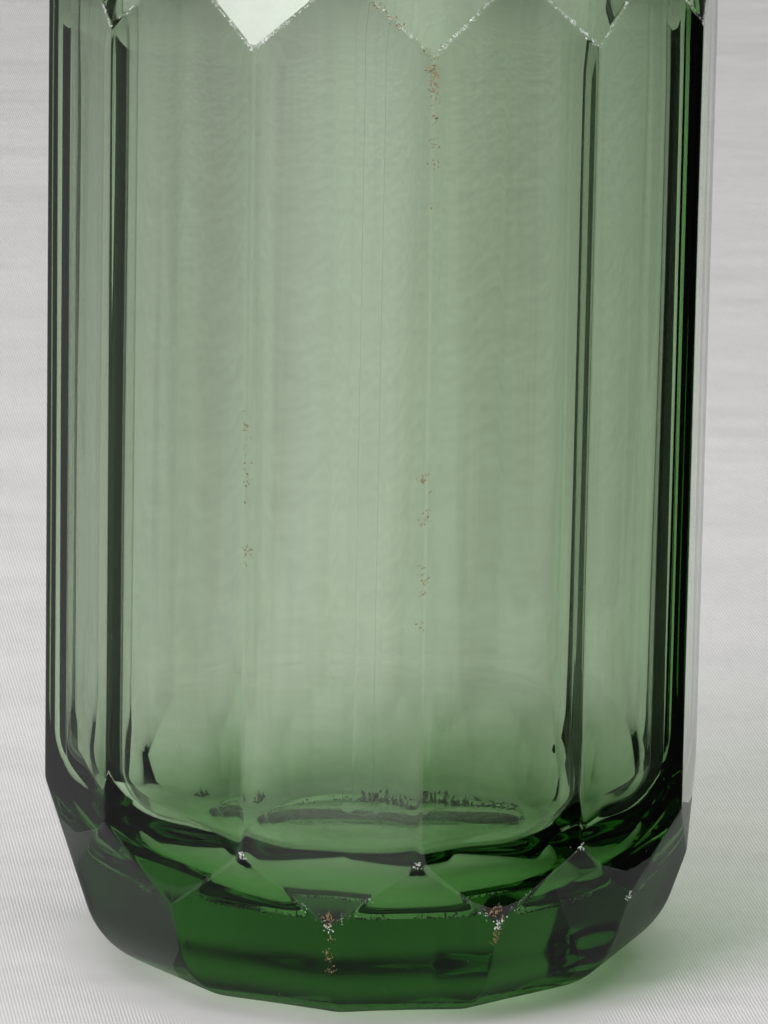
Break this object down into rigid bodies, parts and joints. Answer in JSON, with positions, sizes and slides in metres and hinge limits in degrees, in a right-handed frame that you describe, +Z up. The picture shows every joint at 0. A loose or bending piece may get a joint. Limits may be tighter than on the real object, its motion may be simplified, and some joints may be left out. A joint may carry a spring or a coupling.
{
  "type": "siphon bottle",
  "caption": "Siphon bottle for soda water: faceted green glass with a thick base, a cast metal head with thumb lever and curved spout, and a spring valve and dip tube inside.",
  "frame": {"origin": "on the table, below the bottle's axis", "axes": "+Z up the bottle's axis, +X towards the spout, the lever's handle towards -X"},
  "size_m": [0.133, 0.1, 0.3072],
  "materials": {
    "green_glass": "pressed, pale sage green, glossy",
    "clear_glass": "drawn tube, clear",
    "cast_alloy": "cast, rubbed smooth, dulled with age",
    "steel": "turned",
    "brass": "turned, slightly tarnished",
    "rubber": "matt black"
  },
  "bodies": {
    "bottle_and_head": {"bottle": "green_glass", "neck_ring_left": "cast_alloy", "neck_ring_right": "cast_alloy", "neck_gasket": "rubber", "head_body": "cast_alloy", "dip_tube": "clear_glass", "tube_sleeve": "rubber", "tube_nut": "brass", "spring_seat": "brass", "valve_spring": "steel", "packing_washer": "brass", "stem_packing": "rubber", "gland_nut": "cast_alloy", "lever_pin": "steel", "pin_nut": "steel", "spout_gasket": "rubber", "spout": "cast_alloy", "spout_nut": "cast_alloy", "nozzle": "cast_alloy"},
    "thumb_lever": {"lever": "cast_alloy"},
    "stem": {"valve_stem": "brass", "valve_holder": "brass", "valve_washer": "rubber", "valve_nut": "brass", "stem_button": "brass"}
  },
  "joints": [
    {"name": "lever_hinge", "type": "hinge", "parent": "bottle_and_head", "child": "thumb_lever", "pos_m": [0.014, 0, 0.30203], "axis": [0, -1, 0], "range_deg": [0, 13], "stiffness_Nm_per_rad": 0.6, "springref_deg": -20.05},
    {"name": "stem_slide", "type": "slide", "parent": "bottle_and_head", "child": "stem", "axis": [0, 0, -1], "range_m": [0, 0.0033], "deforming": ["valve_spring"]}
  ],
  "couplings": [
    {"joint": "stem_slide", "follows": "lever_hinge", "m_per_rad": 0.014245}
  ]
}
